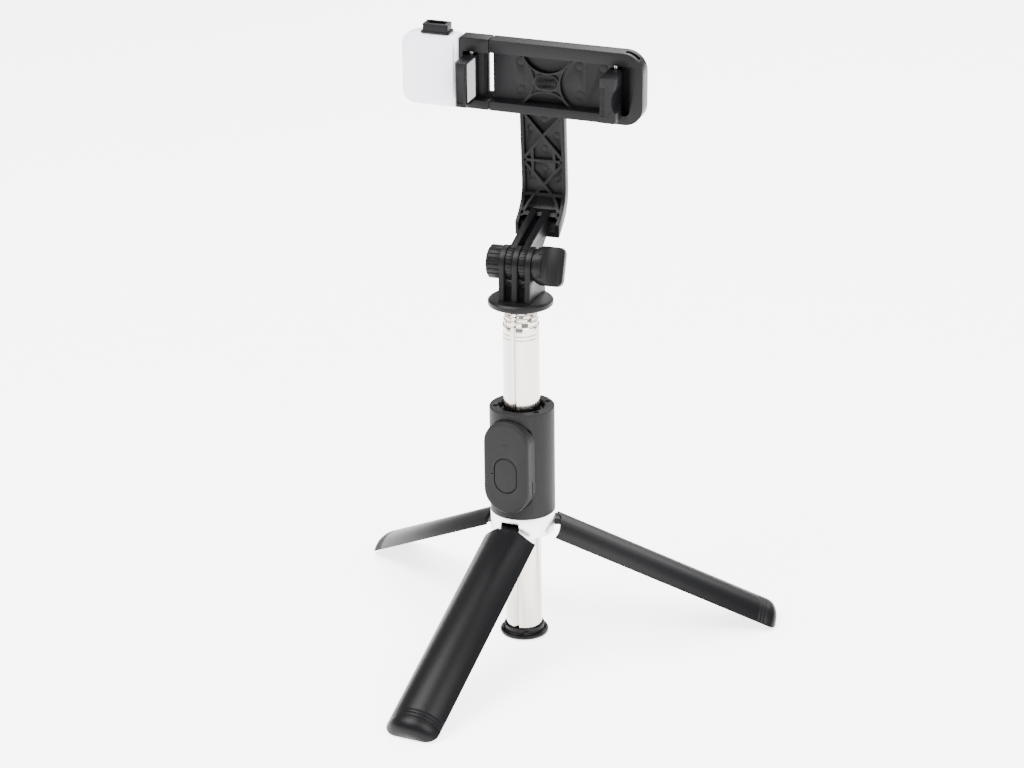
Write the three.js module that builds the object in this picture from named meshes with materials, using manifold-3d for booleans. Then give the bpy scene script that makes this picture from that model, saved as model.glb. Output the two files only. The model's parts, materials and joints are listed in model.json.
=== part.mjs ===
// Tripod selfie stick: telescopic mast in a handle, three folding legs, a finger-jointed arm,
// a sprung phone clamp that swivels on the arm, a fill light and a pull-off remote control.
// Millimetres, +Z up. The floor is z = 0 and the mast stands on the Z axis.
// +X is the axis of the arm's hinge, and the phone faces -Y.
import * as THREE from 'three';
import { mergeVertices } from 'three/addons/utils/BufferGeometryUtils.js';
import Module from 'manifold-3d';

const wasm = await Module();
wasm.setup();

// ---------------------------------------------------------------- driving dimensions
const GAP = 0.3;                 // clearance where two pieces meet
const SIDES = 24;                // facets of a large round piece
const SMALL_SIDES = 16;          // facets of a pin or screw

const HANDLE_TURN = -6;          // the handle and legs stand this far round from the head, degrees
const HANDLE_R = 14.5;
const HANDLE_WALL = 1.8;
const HANDLE_BOTTOM = 61.1;
const HANDLE_TOP = 110.7;
const HANDLE_LID = 3;            // thickness of the handle's top face
const SLEEVE_R = 9.3;            // guide sleeve round the mast
const SCREW_CIRCLE = 11.8;
const SCREW_ANGLES = [-149.4, -32.2, 42.9, 137.1];

const RING_BOTTOM = 51.5;
const RING_INNER = 12.6;
const HUB_TOP = 67;
const HUB_SLOT = 7.4;            // width of the slot that a leg's knuckle turns in
const RING_SLOT = 8.6;
const RING_SLOT_TOP = 58.7;

const PIVOT_R = 10.2;            // leg pins, from the mast's axis
const PIVOT_Z = 55.5;
const PIN_R = 0.8;
const KNUCKLE_R = 1.9;
const KNUCKLE_W = 6.6;
const LEG_LENGTH = 113.7;
const LEG_CHORD = 7.25;          // a folded leg's cut face, from the mast's axis
const LEG_WALL = 1.7;
const MOUTH_SCOOP = 6;
const LEG_END_R = 9.5;           // radius of the flat at the leg's domed tip
const LEG_DOME = 5.5;            // height of the dome
const LEG_AZIMUTHS = { front: -90, right: 30, left: 150 };

const TUBE_R = 8.1;              // outermost mast tube
const TUBE_PITCH = 0.45;         // each tube inside is this much smaller in radius
const TUBE_WALL = 0.34;
const TUBE_TOPS = [149.1, 151.5, 153.2, 154.6, 155.6, 156.5, 157.4];
const TUBE_BOTTOM = 2.4;
const TUBE_STEP = 0.7;           // each tube starts this much higher than the one round it
const KEY_DEPTH = 0.8;           // V groove along the tubes' front
const CAP_R = 10.92;
const CAP_T = 1.8;

const FLANGE_R = 14.4;
const FLANGE_Z = 157.8;
const FLANGE_T = 3.05;
const HINGE_Z = 176.2;
const PLATE_T = 2.26;            // fork fingers
const PLATE_PITCH = 6.04;
const EYE_R = 7.8;
const LUG_T = 3.1;               // arm fingers
const BOLT_R = 2;

const ARM_LEAN = 3.5;            // degrees forward of upright
const ARM_W = 20.4;
const ARM_TOP = 87;              // above the hinge, along the arm
const ARM_FRONT = 33.6;          // front edges of the channel's walls
const ARM_BACK = 37.3;
const ARM_SKIN = 1.4;
const ARM_SIDE = 1.6;
const RIB_T = 1.3;
const CROSSES = [[8.8, 57, 8.8, 36.5], [8.6, 34, 3.5, 20.5]];    // half width and height, top then foot
const BRACKET_RISE = 75.2;       // centre of the phone clamp above the hinge
const BRACKET_ROLL = 1.64;       // degrees, clockwise from the front
const FACE_Y = 25.2;             // front of the clamp, behind the hinge
const CLAMP_T = 7.6;
const CLAMP_H = 31.9;
const CLAMP_RIGHT = 48.8;
const SPLIT_X = -20.6;           // where the sliding block meets the frame
const BLOCK_LEFT = -34.4;
const RIM_IN_TOP = 10.2;         // inner edges of the frame's rims
const RIM_IN_BOTTOM = -12;
const RECESS = 5.6;               // depth of the frame's pocket
const JAW_D = 12;                // how far a jaw stands out from the face
const JAW_TOP = 8.1;
const JAW_BOTTOM = -11.7;
const LEFT_JAW = [-32.2, -27];
const RIGHT_JAW = [33.4, 40.4];
const RIVET_R = 2.2;
const BACK_Y = FACE_Y + CLAMP_T;
const COVER_T = 0.9;
const POCKET_Y = FACE_Y + RECESS;
const HALF_H = CLAMP_H / 2;
const PIN_Y = FACE_Y + 2.7;      // jaw hinges
const LEFT_PIN_X = (LEFT_JAW[0] + LEFT_JAW[1]) / 2;
const RIGHT_PIN_X = RIGHT_JAW[0] + 2.6;
const JAW_PIN_R = 0.9;
const RAIL_START = -27.4;
const RAIL_END = 9;
const RAILS = { top: [11.5, 14.3], bottom: [-14.7, -13] };
const RAIL_Y = [27.4, 30];
const WINDOW_LEFT = -22.8;
const WEB_CENTRE = [4.4, -1.9];
const WEB_H = 2.2;

const LIGHT_LEFT = -61;
const LIGHT_H = 32.6;
const LIGHT_RIGHT = BLOCK_LEFT - 0.3;
const LIGHT_FRONT = 23.2;
const LIGHT_SPLIT = 29;
const LIGHT_BACK = 33;
const LIGHT_HALF = LIGHT_H / 2;

const REMOTE_W = 21.8;
const REMOTE_H = 43.3;
const REMOTE_Z = 86.4;
const REMOTE_FACE = 17.7;        // from the mast's axis
const REMOTE_BACK = 10.9;
const CASE_BACK = -REMOTE_BACK - 1.2;    // where the front shell meets its back
const BUTTON_W = 10.8;
const BUTTON_H = 16.2;
const BUTTON_Z = 82.9;

const rad = THREE.MathUtils.degToRad;
const GRIP = [0x4e4e50, 0.62, 0];
const BLACK = [0x3e3e42, 0.5, 0];
const DARK = [0x333336, 0.55, 0];
const STEEL = [0xe6e1da, 0.22, 1];
const BRIGHT = [0xd9dade, 0.35, 1];
const PAD = [0x9a9a9e, 0.9, 0];
const WHITE = [0xe2e2ec, 0.45, 0];
const BOARD = [0x1f5a34, 0.6, 0];

// ---------------------------------------------------------------- solids from three.js shapes
function toSolid(geometry) {
  const bare = geometry.index ? geometry.toNonIndexed() : geometry.clone();
  bare.deleteAttribute('normal');
  bare.deleteAttribute('uv');
  const merged = mergeVertices(bare, 1e-4);
  const source = merged.index.array;
  const point = merged.attributes.position;
  const kept = [];
  let volume = 0;
  const a = new THREE.Vector3();
  const b = new THREE.Vector3();
  const c = new THREE.Vector3();
  for (let i = 0; i < source.length; i += 3) {
    const [p, q, r] = [source[i], source[i + 1], source[i + 2]];
    if (p === q || q === r || r === p) continue;
    kept.push(p, q, r);
    a.fromBufferAttribute(point, p);
    b.fromBufferAttribute(point, q);
    c.fromBufferAttribute(point, r);
    volume += a.dot(b.cross(c));
  }
  if (volume < 0) kept.reverse();
  return new wasm.Manifold(new wasm.Mesh({
    numProp: 3,
    vertProperties: new Float32Array(point.array),
    triVerts: new Uint32Array(kept),
  }));
}

function toGeometry(solid) {
  const mesh = solid.getMesh();
  const geometry = new THREE.BufferGeometry();
  geometry.setAttribute('position', new THREE.BufferAttribute(new Float32Array(mesh.vertProperties), 3));
  geometry.setIndex(new THREE.BufferAttribute(new Uint32Array(mesh.triVerts), 1));
  geometry.computeVertexNormals();
  return geometry;
}

function box(x0, x1, y0, y1, z0, z1) {
  const geometry = new THREE.BoxGeometry(x1 - x0, y1 - y0, z1 - z0);
  geometry.translate((x0 + x1) / 2, (y0 + y1) / 2, (z0 + z1) / 2);
  return toSolid(geometry);
}

// an outline in X and Y, raised from z0 to z1
function raise(shape, z0, z1, sides = 12) {
  const geometry = new THREE.ExtrudeGeometry(shape, { depth: z1 - z0, bevelEnabled: false, curveSegments: sides });
  geometry.translate(0, 0, z0);
  return toSolid(geometry);
}

// an outline in Y and Z, carried along X
function alongX(shape, x0, x1, sides = 12) {
  const geometry = new THREE.ExtrudeGeometry(shape, { depth: x1 - x0, bevelEnabled: false, curveSegments: sides });
  geometry.translate(0, 0, x0);
  geometry.applyMatrix4(new THREE.Matrix4().set(0, 0, 1, 0, 1, 0, 0, 0, 0, 1, 0, 0, 0, 0, 0, 1));
  return toSolid(geometry);
}

// an outline in X and Z, carried along Y
function alongY(shape, y0, y1, sides = 12) {
  const geometry = new THREE.ExtrudeGeometry(shape, { depth: y1 - y0, bevelEnabled: false, curveSegments: sides });
  geometry.rotateX(Math.PI / 2);
  geometry.translate(0, y1, 0);
  return toSolid(geometry);
}

function rod(axis, radius, from, to, sides = SMALL_SIDES) {
  const geometry = new THREE.CylinderGeometry(radius, radius, to - from, sides);
  geometry.translate(0, (from + to) / 2, 0);
  if (axis === 'z') geometry.rotateX(Math.PI / 2);
  if (axis === 'x') geometry.rotateZ(-Math.PI / 2);
  return toSolid(geometry);
}

// a profile of [radius, z] points turned about Z
function turned(profile, sides = SIDES) {
  const points = profile.map(([r, z]) => new THREE.Vector2(r, z));
  const geometry = new THREE.LatheGeometry(points, sides);
  geometry.rotateX(Math.PI / 2);
  return toSolid(geometry);
}

function ring(inner, outer, z0, z1, sides = SIDES) {
  return turned([[inner, z0], [outer, z0], [outer, z1], [inner, z1], [inner, z0]], sides);
}

function polygon(points) {
  return new THREE.Shape(points.map(([x, y]) => new THREE.Vector2(x, y)));
}

// a rectangle whose corners are arcs: radii in the order right-top, left-top, left-bottom, right-bottom
function roundedRect(x0, x1, y0, y1, radii) {
  const [rt, lt, lb, rb] = radii.length ? radii : [radii, radii, radii, radii];
  const shape = new THREE.Shape();
  shape.moveTo(x0 + lb, y0);
  shape.lineTo(x1 - rb, y0);
  if (rb) shape.absarc(x1 - rb, y0 + rb, rb, -Math.PI / 2, 0, false);
  shape.lineTo(x1, y1 - rt);
  if (rt) shape.absarc(x1 - rt, y1 - rt, rt, 0, Math.PI / 2, false);
  shape.lineTo(x0 + lt, y1);
  if (lt) shape.absarc(x0 + lt, y1 - lt, lt, Math.PI / 2, Math.PI, false);
  shape.lineTo(x0, y0 + lb);
  if (lb) shape.absarc(x0 + lb, y0 + lb, lb, Math.PI, Math.PI * 1.5, false);
  return shape;
}

function stadium(width, height, centreY) {
  return roundedRect(-width / 2, width / 2, centreY - height / 2, centreY + height / 2, width / 2 - 0.01);
}

function cut(solid, ...tools) {
  return tools.reduce((rest, tool) => rest.subtract(tool), solid);
}

function join(...solids) {
  return solids.reduce((whole, next) => whole.add(next));
}

function part(group, name, solid, [color, roughness, metalness]) {
  const material = new THREE.MeshStandardMaterial({ color, roughness, metalness });
  const mesh = new THREE.Mesh(toGeometry(solid), material);
  mesh.name = name;
  group.add(mesh);
}

function place(parent, { x = 0, y = 0, z = 0, rx = 0, ry = 0, rz = 0 } = {}) {
  const group = new THREE.Group();
  group.position.set(x, y, z);
  group.rotation.set(rad(rx), rad(ry), rad(rz));
  parent.add(group);
  return group;
}

// ---------------------------------------------------------------- handle and hub
function remoteCore(extra) {
  return alongY(stadium(REMOTE_W + 2 * extra, REMOTE_H + 2 * extra, REMOTE_Z), -20, -REMOTE_BACK + extra);
}

function handleShell() {
  const inner = HANDLE_R - HANDLE_WALL;
  const top = HANDLE_TOP - HANDLE_LID;
  const wall = turned([
    [inner, HANDLE_BOTTOM], [HANDLE_R, HANDLE_BOTTOM], [HANDLE_R, HANDLE_TOP - 0.5],
    [HANDLE_R - 0.5, HANDLE_TOP], [SLEEVE_R + 0.7, HANDLE_TOP], [SLEEVE_R + 0.7, top],
    [inner, top], [inner, HANDLE_BOTTOM],
  ]);
  // a walled pocket for the remote, behind a stadium-shaped mouth
  const pocketWall = alongY(stadium(REMOTE_W + 3, REMOTE_H + 3, REMOTE_Z), -20, -SLEEVE_R - GAP)
    .intersect(rod('z', HANDLE_R - 0.2, HANDLE_BOTTOM, HANDLE_TOP - 0.5, SIDES));
  let shell = cut(join(wall, pocketWall), remoteCore(GAP));
  for (const angle of SCREW_ANGLES) {
    shell = shell.subtract(screwAt(angle, 1.25, HANDLE_TOP - 5, HANDLE_TOP + 1));
  }
  // three notches open the top hole where the sleeve's ears snap in
  for (const angle of [-160, -115, -8]) {
    const notch = box(SLEEVE_R - 0.4, SLEEVE_R + 1.5, -1.6, 1.6, top - 1, HANDLE_TOP + 1);
    shell = shell.subtract(notch.rotate([0, 0, angle]));
  }
  return shell;
}

function screwAt(angle, radius, z0, z1) {
  const geometry = new THREE.CylinderGeometry(radius, radius, z1 - z0, 12);
  geometry.rotateX(Math.PI / 2);
  geometry.translate(SCREW_CIRCLE * Math.cos(rad(angle)), SCREW_CIRCLE * Math.sin(rad(angle)), (z0 + z1) / 2);
  return toSolid(geometry);
}

function hubCore() {
  let core = join(
    ring(TUBE_R + GAP, RING_INNER - GAP, RING_BOTTOM + 0.1, HANDLE_BOTTOM + 0.5),
    ring(SLEEVE_R + GAP, RING_INNER - GAP, HANDLE_BOTTOM, HUB_TOP)
      .subtract(alongY(stadium(REMOTE_W + 4, REMOTE_H + 4, REMOTE_Z), -20, -SLEEVE_R + 0.5)),
  );
  for (const azimuth of Object.values(LEG_AZIMUTHS)) {
    const slot = box(7, 14, -HUB_SLOT / 2, HUB_SLOT / 2, RING_BOTTOM - 1, PIVOT_Z + 2.6);
    core = core.subtract(slot.rotate([0, 0, azimuth]));
    core = core.subtract(legPin(PIN_R + GAP, 5.6).rotate([0, 0, azimuth]));
  }
  return core;
}

// a pin across a leg's knuckle, for a leg that points along +X
function legPin(radius, half) {
  return rod('y', radius, -half, half).translate([PIVOT_R, 0, PIVOT_Z]);
}

function hubRing() {
  let band = ring(RING_INNER, HANDLE_R, RING_BOTTOM, HANDLE_BOTTOM - 0.05);
  for (const azimuth of Object.values(LEG_AZIMUTHS)) {
    const slot = box(9, 16, -RING_SLOT / 2, RING_SLOT / 2, RING_BOTTOM - 1, RING_SLOT_TOP);
    band = band.subtract(slot.rotate([0, 0, azimuth]));
  }
  return band;
}

function guideSleeve() {
  return ring(TUBE_R + GAP, SLEEVE_R, PIVOT_Z + 7, HANDLE_TOP - 0.6)
    .add(ring(TUBE_R + GAP, RING_INNER - GAP, HUB_TOP + GAP, HUB_TOP + 1.6)
      .subtract(alongY(stadium(REMOTE_W + 4, REMOTE_H + 4, REMOTE_Z), -20, -SLEEVE_R + 0.5)));
}

// ---------------------------------------------------------------- legs, drawn folded and pointing along +X
function legShell() {
  const top = RING_BOTTOM - GAP;
  const tip = top - LEG_LENGTH;
  const outer = [];
  const inner = [];
  for (let i = 0; i <= 4; i += 1) {
    const turn = (i / 4) * Math.PI / 2;
    const spread = HANDLE_R - LEG_END_R;
    outer.push([LEG_END_R + spread * Math.sin(turn), tip + LEG_DOME * (1 - Math.cos(turn))]);
    inner.push([
      LEG_END_R - LEG_WALL + spread * Math.sin(turn),
      tip + LEG_WALL + (LEG_DOME - LEG_WALL + 0.6) * (1 - Math.cos(turn)),
    ]);
  }
  const shell = turned([
    [0, tip], ...outer, [HANDLE_R, top], [HANDLE_R - LEG_WALL, top], ...inner.reverse(), [0, tip + LEG_WALL],
  ], 36);
  const wedge = raise(polygon([[0, 0], [30, -30 * Math.tan(rad(59.3))], [30, 30 * Math.tan(rad(59.3))]]), tip - 1, top + 1);
  const chord = box(LEG_CHORD, 20, -20, 20, tip - 1, top + 1);
  // the mouth of the leg is notched, so that the knuckle shows between it and the ring
  const notch = box(9, 16, -4.4, 4.4, top - 1.2, top + 1);
  // and scooped about the pin, so that its edges pass under the ring
  const scoop = rod('y', MOUTH_SCOOP, -20, 20, SIDES).translate([PIVOT_R, 0, PIVOT_Z]);
  return cut(shell.intersect(wedge).intersect(chord), notch, scoop);
}

function legTongue() {
  const outline = polygon([
    [PIVOT_R - KNUCKLE_R + 0.2, PIVOT_Z - 0.5], [11.5, 47.8], [11.5, 40], [13.3, 38],
    [13.3, 50.3], [PIVOT_R + KNUCKLE_R, PIVOT_Z - 0.6],
  ]);
  const turn = new THREE.Matrix4().makeRotationZ(-Math.PI / 2);
  const web = alongX(outline, -KNUCKLE_W / 2, KNUCKLE_W / 2).transform(turn.elements);
  const eye = rod('y', KNUCKLE_R, -KNUCKLE_W / 2, KNUCKLE_W / 2).translate([PIVOT_R, 0, PIVOT_Z]);
  return cut(join(web, eye), legPin(PIN_R + GAP, KNUCKLE_W));
}

// two ribs across the leg's inside: the folded stick's bottom cap snaps between them
function legRibs() {
  const disc = rod('z', HANDLE_R - 0.9, 0, 1.8, 36).subtract(rod('z', 9.8, -1, 3, 36));
  const half = disc.intersect(box(LEG_CHORD + 0.4, 20, -7, 7, -1, 3));
  return [-42.2, -49.6].map((z) => half.translate([0, 0, z]));
}

function leg() {
  return join(legShell(), legTongue(), ...legRibs()).subtract(legPadSolid(0.25, 1));
}

// a pad let into the flat at the tip
function legPadSolid(extra, depth) {
  const tip = RING_BOTTOM - GAP - LEG_LENGTH;
  const disc = rod('z', LEG_END_R - 1.1 + extra, tip - extra, tip + depth, 32);
  return disc.intersect(box(LEG_CHORD + 1 - extra, 20, -5 - extra, 5 + extra, tip - 1, tip + 2));
}

// the leg's turn from folded until its tip meets the floor
const PIVOT_TO_CUT = LEG_CHORD - PIVOT_R;
const PIVOT_TO_TIP = RING_BOTTOM - GAP - LEG_LENGTH - PIVOT_Z;
const REACH = Math.hypot(PIVOT_TO_CUT, PIVOT_TO_TIP);
const LEG_OPEN = THREE.MathUtils.radToDeg(Math.acos(PIVOT_Z / REACH) + Math.atan(PIVOT_TO_CUT / PIVOT_TO_TIP));

// ---------------------------------------------------------------- mast
// the tubes' V grooves nest, so they deepen from tube to tube
function grooveFloor(radius) {
  return radius - KEY_DEPTH - (TUBE_R - radius) * (1 / Math.cos(rad(30)) - 1);
}

function keyedRound(radius) {
  const slope = Math.tan(rad(30));
  const floor = grooveFloor(radius);
  const spread = 1 + slope * slope;
  const root = Math.sqrt((slope * floor) ** 2 + spread * (radius ** 2 - floor ** 2));
  const half = Math.asin((root - slope * floor) / spread / radius);
  const path = new THREE.Path();
  path.absarc(0, 0, radius, half - Math.PI / 2, Math.PI * 1.5 - half, false);
  path.lineTo(0, -floor);
  path.closePath();
  return path;
}

function mastTube(index) {
  const radius = TUBE_R - TUBE_PITCH * index;
  const shape = new THREE.Shape();
  shape.curves = keyedRound(radius).curves;
  shape.holes.push(keyedRound(radius - TUBE_WALL));
  return raise(shape, TUBE_BOTTOM + TUBE_STEP * index, TUBE_TOPS[index], 16);
}

function bottomCap() {
  const collar = TUBE_R + 1;
  return turned([
    [0, 0], [CAP_R - 0.4, 0], [CAP_R, 0.4], [CAP_R, CAP_T - 0.3], [CAP_R - 0.3, CAP_T], [collar, CAP_T],
    [collar, CAP_T + 2.8], [TUBE_R + GAP, CAP_T + 2.8], [TUBE_R + GAP, CAP_T + 0.2], [0, CAP_T + 0.2],
  ]);
}

// ---------------------------------------------------------------- head
function fingerShape(front, back, base) {
  const shape = new THREE.Shape();
  shape.moveTo(front, base);
  shape.lineTo(back, base);
  shape.lineTo(back - 0.6, base + 4);
  shape.lineTo(EYE_R, 0);
  shape.absarc(0, 0, EYE_R, 0, Math.PI, false);
  shape.closePath();
  return shape;
}

function headFork() {
  const top = FLANGE_Z + FLANGE_T;
  const flange = turned([
    [0, FLANGE_Z], [FLANGE_R, FLANGE_Z], [FLANGE_R, top - 0.7], [FLANGE_R - 0.7, top], [0, top],
  ], 40);
  const innermost = grooveFloor(TUBE_R - TUBE_PITCH * (TUBE_TOPS.length - 1) - TUBE_WALL);
  const plug = rod('z', innermost - GAP, FLANGE_Z - 18, FLANGE_Z + 1, SMALL_SIDES);
  const base = top - HINGE_Z;
  const outline = fingerShape(-8.6, 12.4, base - 0.5);
  const fingers = [-1, 0, 1].map((side) => {
    const x = side * PLATE_PITCH;
    return alongX(outline, x - PLATE_T / 2, x + PLATE_T / 2).translate([0, 0, HINGE_Z]);
  });
  const foot = polygon([[-5.5, base - 0.5], [12.4, base - 0.5], [11.8, base + 4], [-4.2, base + 5.6]]);
  const web = alongX(foot, -PLATE_PITCH, PLATE_PITCH).translate([0, 0, HINGE_Z]);
  const bore = rod('x', BOLT_R + GAP, -12, 12).translate([0, 0, HINGE_Z]);
  return cut(join(flange, plug, ...fingers, web), bore);
}

function hingeNut() {
  const x1 = -PLATE_PITCH - PLATE_T / 2 - 0.1;
  const body = rod('x', 7.4, x1 - 5.9, x1, 24);
  const bevel = rod('x', 6.8, x1 - 6.5, x1 - 5, 24);
  return cut(join(body, bevel), rod('x', BOLT_R + GAP, x1 - 5, x1 + 1)).translate([0, 0, HINGE_Z]);
}

function thumbKnob() {
  const x0 = PLATE_PITCH + PLATE_T / 2 + 0.3;
  const boss = join(rod('x', 7.2, x0, x0 + 2.6, 24), rod('x', 8, x0 + 1.2, x0 + 4.2, 24));
  // the wing's two faces are scooped for thumb and finger
  const blade = raise(roundedRect(x0 + 3, x0 + 12.8, -8.6, 8.6, [3, 0.5, 0.5, 3]), -7, 7, 4);
  const scoops = [-1, 1].map((side) => rod('y', 9, -12, 12, SIDES).translate([x0 + 13, 0, side * 10.7]));
  const wing = cut(blade, ...scoops).intersect(rod('x', 8.9, x0, x0 + 14, SIDES)).rotate([70, 0, 0]);
  return cut(join(boss, wing), rod('x', BOLT_R + GAP, x0 - 1, x0 + 6.3)).translate([0, 0, HINGE_Z]);
}

function hingeBolt() {
  return rod('x', BOLT_R, -11.8, PLATE_PITCH + PLATE_T / 2 + 6.2).translate([0, 0, HINGE_Z]);
}

// ---------------------------------------------------------------- arm, drawn from its hinge, upright

function armOutline() {
  return polygon([
    [ARM_FRONT, ARM_TOP], [ARM_FRONT, 24.5], [30.8, 16.6], [23, 10], [23, 4.2],
    [31.6, 10.8], [35.8, 16.2], [ARM_BACK, 24], [ARM_BACK, ARM_TOP],
  ]);
}

// the channel opens to the front, below the clamp
function armHollow() {
  const floor = ARM_BACK - ARM_SKIN;
  return polygon([
    [ARM_FRONT - 2, 57.5], [ARM_FRONT - 2, 25], [29, 18], [21.5, 11.6], [21.5, 6],
    [23.6, 6.8], [30.6, 12], [34.4, 17], [floor, 24.4], [floor, 57.5],
  ]);
}

// a rib between two points of the channel's width and height
function crossRib(x0, z0, x1, z1) {
  const side = new THREE.Vector2(z0 - z1, x1 - x0).normalize().multiplyScalar(RIB_T / 2);
  return alongY(polygon([
    [x0 + side.x, z0 + side.y], [x0 - side.x, z0 - side.y], [x1 - side.x, z1 - side.y], [x1 + side.x, z1 + side.y],
  ]), 25, ARM_BACK);
}

function armRibs(inside) {
  const bars = [35.4, 20, 13].map((z) => crossRib(-inside, z, inside, z));
  const crosses = CROSSES.flatMap(([topX, topZ, lowX, lowZ]) => [
    crossRib(-topX, topZ, lowX, lowZ), crossRib(topX, topZ, -lowX, lowZ),
  ]);
  const shy = alongX(armOutline(), -inside, inside).translate([0, 0.25, 0]);
  return join(...bars, ...crosses).intersect(shy).intersect(alongX(armOutline(), -inside, inside));
}

function arm() {
  const half = ARM_W / 2;
  const body = alongX(armOutline(), -half, half);
  const hollow = alongX(armHollow(), -half + ARM_SIDE, half - ARM_SIDE);
  const neck = alongX(polygon([[7, 5.4], [25.5, 11], [26.5, 8], [25.5, 5.2], [8, 0.6]]), -4.4, 4.4);
  const middleFinger = PLATE_T / 2 + 0.35;
  const room = rod('x', EYE_R + 4.2, -middleFinger, middleFinger, SIDES);
  const fingers = [-1, 1].map((side) => {
    const x = side * PLATE_PITCH / 2;
    const blade = polygon([[-1.6, 7.1], [28.5, 14.6], [32, 13.2], [24, 5.6], [3.2, -6.5]]);
    return join(
      rod('x', EYE_R - 0.5, x - LUG_T / 2, x + LUG_T / 2, SIDES),
      alongX(blade, x - LUG_T / 2, x + LUG_T / 2),
    );
  });
  const whole = join(cut(body, hollow), armRibs(half - 0.8), cut(neck, room), ...fingers);
  const swivelHole = rod('y', RIVET_R + GAP, ARM_FRONT - 1, ARM_BACK + 1).translate([0, 0, BRACKET_RISE]);
  return cut(whole, rod('x', BOLT_R + GAP, -12, 12), swivelHole);
}

// ---------------------------------------------------------------- phone clamp, drawn about its swivel

function railSpace(extra, from, to) {
  return Object.values(RAILS).map(([low, high]) => (
    box(from, to, RAIL_Y[0] - extra, RAIL_Y[1] + extra, low - extra, high + extra)));
}

function clampOutline(x0, x1, radii) {
  return roundedRect(x0, x1, -HALF_H, HALF_H, radii);
}

// a raised web on the pocket's floor, scalloped on four sides, with an oval hole
function pocketWeb() {
  const [x, z] = WEB_CENTRE;
  const plate = box(x - 17, x + 17, POCKET_Y - WEB_H, POCKET_Y + 0.2, RIM_IN_BOTTOM - 0.2, RIM_IN_TOP + 0.2);
  const scoop = (radius, dx, dz) => rod('y', radius, POCKET_Y - 3, POCKET_Y, 24).translate([x + dx, 0, z + dz]);
  const hole = alongY(roundedRect(x - 5, x + 5, z - 2.8, z + 2.8, 2.79), POCKET_Y - 3, POCKET_Y, 5);
  return cut(plate, scoop(11.2, 0, 15.6), scoop(11.2, 0, -15.6), scoop(12, 18.4, 0), scoop(12, -18.4, 0), hole);
}

function clampFrame() {
  const outline = clampOutline(SPLIT_X, CLAMP_RIGHT, [9, 0.5, 0.5, 8]);
  const body = alongY(outline, FACE_Y, BACK_Y - COVER_T - 0.05, 5);
  const pocket = box(SPLIT_X - 1, RIGHT_JAW[1] + 2.6, FACE_Y - 1, POCKET_Y, RIM_IN_BOTTOM, RIM_IN_TOP);
  const pinHole = rod('z', JAW_PIN_R + GAP, RIM_IN_BOTTOM - 2, RIM_IN_TOP + 2).translate([RIGHT_PIN_X, PIN_Y, 0]);
  const rivet = rod('y', RIVET_R + GAP, POCKET_Y + 0.5, BACK_Y);
  const panel = join(cut(body, pocket), pocketWeb());
  return cut(panel, pinHole, rivet, ...railSpace(GAP, SPLIT_X - 1, RAIL_END + GAP));
}

function backCover() {
  const plate = alongY(clampOutline(SPLIT_X, CLAMP_RIGHT, [9, 0.5, 0.5, 8]), BACK_Y - COVER_T, BACK_Y, 5);
  const boss = rod('y', 8, BACK_Y - 0.4, BACK_Y + 0.5, SIDES);
  return cut(join(plate, boss), rod('y', RIVET_R + GAP, BACK_Y - 2, BACK_Y + 2));
}

function swivelRivet() {
  const head = rod('y', 4.2, ARM_BACK + GAP, ARM_BACK + 1.6, 24);
  return join(rod('y', RIVET_R, POCKET_Y + 0.8, ARM_BACK + 0.6), head);
}

function slideBlock() {
  const right = SPLIT_X - 0.35;
  const body = alongY(clampOutline(BLOCK_LEFT, right, [0.4, 0.8, 0.8, 0.4]), FACE_Y, BACK_Y, 3);
  const pocket = box(LEFT_JAW[0] - 0.5, right + 1, FACE_Y - 1, POCKET_Y + 0.3, RIM_IN_BOTTOM, RIM_IN_TOP - 0.4);
  const window = box(WINDOW_LEFT, right + 1, FACE_Y, BACK_Y + 1, RIM_IN_BOTTOM + 2.6, RIM_IN_TOP - 0.4);
  const pinHole = rod('z', JAW_PIN_R + GAP, RIM_IN_BOTTOM - 2, RIM_IN_TOP + 2).translate([LEFT_PIN_X, PIN_Y, 0]);
  return cut(body, pocket, window, pinHole, ...railSpace(GAP, RAIL_START - GAP, right + 1));
}

// a jaw stands out from the face; side is +1 where its grip faces right
function jaw([x0, x1], pinX, side, scooped) {
  const front = FACE_Y - JAW_D;
  const inner = side > 0 ? x1 : x0;
  const outer = side > 0 ? x0 : x1;
  const root = Math.abs(inner - pinX);
  const outline = polygon([
    [inner, front], [inner, PIN_Y], [pinX - side * root, PIN_Y], [pinX - side * root, FACE_Y - 1.4],
    [outer, FACE_Y - 3.4], [outer, front + 0.8], [outer + side * 0.8, front],
  ]);
  const knuckle = rod('z', root, JAW_BOTTOM, JAW_TOP, 20).translate([pinX, PIN_Y, 0]);
  const body = join(raise(outline, JAW_BOTTOM, JAW_TOP), knuckle);
  const pinHole = rod('z', JAW_PIN_R + GAP, JAW_BOTTOM - 1, JAW_TOP + 1).translate([pinX, PIN_Y, 0]);
  const padSeat = box(
    Math.min(inner, inner - side * 0.9), Math.max(inner, inner - side * 0.9) + 0.001,
    front + 2, FACE_Y, JAW_BOTTOM + 1.4, JAW_TOP - 0.6,
  ).translate([side * 0.0005, 0, 0]);
  const scoop = rod('y', 9, front - 1, FACE_Y + 3, SIDES).translate([outer - side * 7.1, 0, -1.8]);
  return scooped ? cut(body, pinHole, padSeat, scoop) : cut(body, pinHole, padSeat);
}

function jawPad([x0, x1], side) {
  const inner = side > 0 ? x1 : x0;
  const [low, high] = [inner - side * 0.6, inner + side * 0.1].sort((p, q) => p - q);
  return box(low, high, FACE_Y - JAW_D + 2.3, FACE_Y - GAP, JAW_BOTTOM + 1.7, JAW_TOP - 0.9);
}

function jawPin(x) {
  return rod('z', JAW_PIN_R, RIM_IN_BOTTOM - 1.7, RIM_IN_TOP + 1).translate([x, PIN_Y, 0]);
}

// ---------------------------------------------------------------- fill light on the sliding block

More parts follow.
